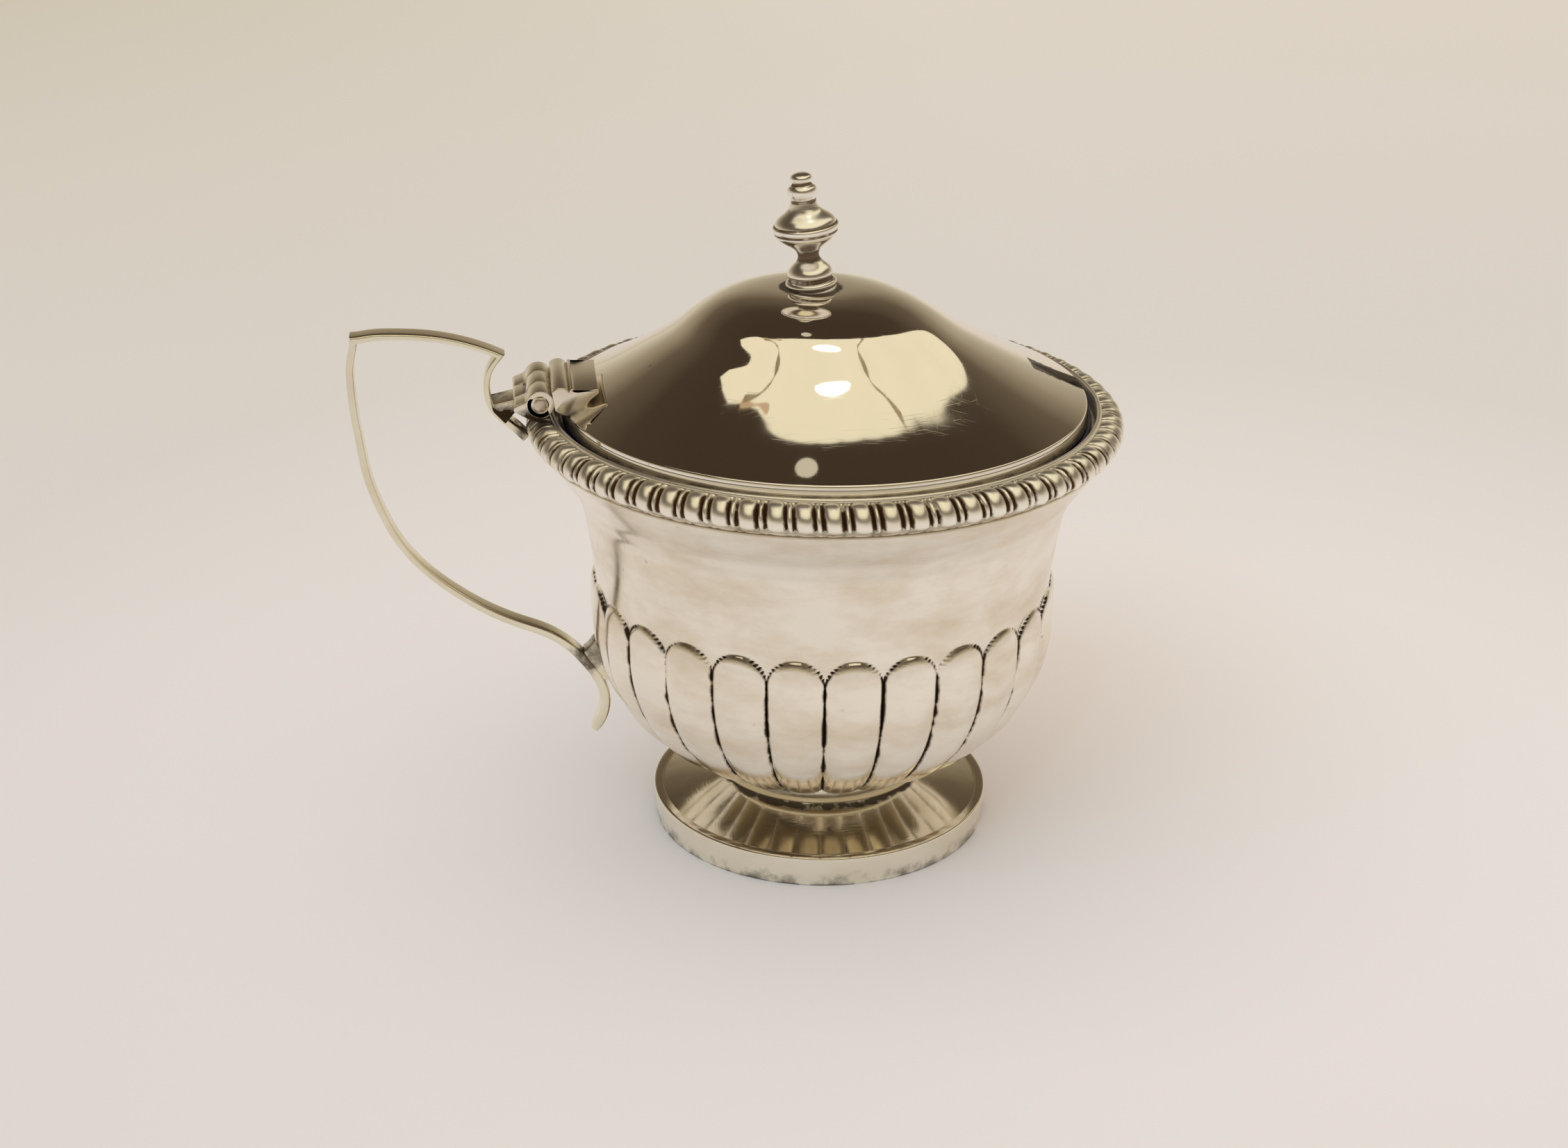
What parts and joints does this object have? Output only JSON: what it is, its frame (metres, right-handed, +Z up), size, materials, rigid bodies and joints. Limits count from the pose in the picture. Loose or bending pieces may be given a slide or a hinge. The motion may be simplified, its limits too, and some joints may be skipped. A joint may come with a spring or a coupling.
{
  "type": "mustard pot",
  "caption": "Footed silver mustard pot with lobed bowl, beaded rim, scroll handle, hinged domed lid with finial and spoon slot, and a blue glass liner.",
  "frame": {"origin": "centre of the foot's base, on the table", "axes": "+Z up along the bowl's axis, -X toward the handle and the lid hinge, +X toward the spoon slot, Y across"},
  "size_m": [0.0876, 0.068, 0.0785],
  "materials": {
    "silver_body": "polished silver with tarnish in the grooves",
    "silver_border": "polished silver, dark in the recesses",
    "silver_foot": "polished silver with light wear",
    "silver_handle": "polished silver, softly worn edges",
    "silver_hinge": "silver with tarnish in the joints",
    "silver_pin": "filed silver wire",
    "silver_lid": "polished silver with fine scratches",
    "silver_finial": "turned and polished silver",
    "blue_glass": "cobalt blue glass"
  },
  "bodies": {
    "pot": {"bowl": "silver_body", "gadroon_border": "silver_border", "rim_wire": "silver_border", "foot_collar": "silver_foot", "foot": "silver_foot", "foot_band": "silver_foot", "handle": "silver_handle", "hinge_leaf_pot": "silver_hinge", "hinge_pin": "silver_pin", "glass_liner": "blue_glass"},
    "lid": {"lid": "silver_lid", "lid_bezel": "silver_lid", "hinge_leaf_lid": "silver_hinge", "finial": "silver_finial"}
  },
  "joints": [
    {"name": "lid_hinge", "type": "hinge", "parent": "pot", "child": "lid", "pos_m": [-0.03235, 0, 0.05445], "axis": [0, -1, 0], "range_deg": [0, 95]}
  ]
}
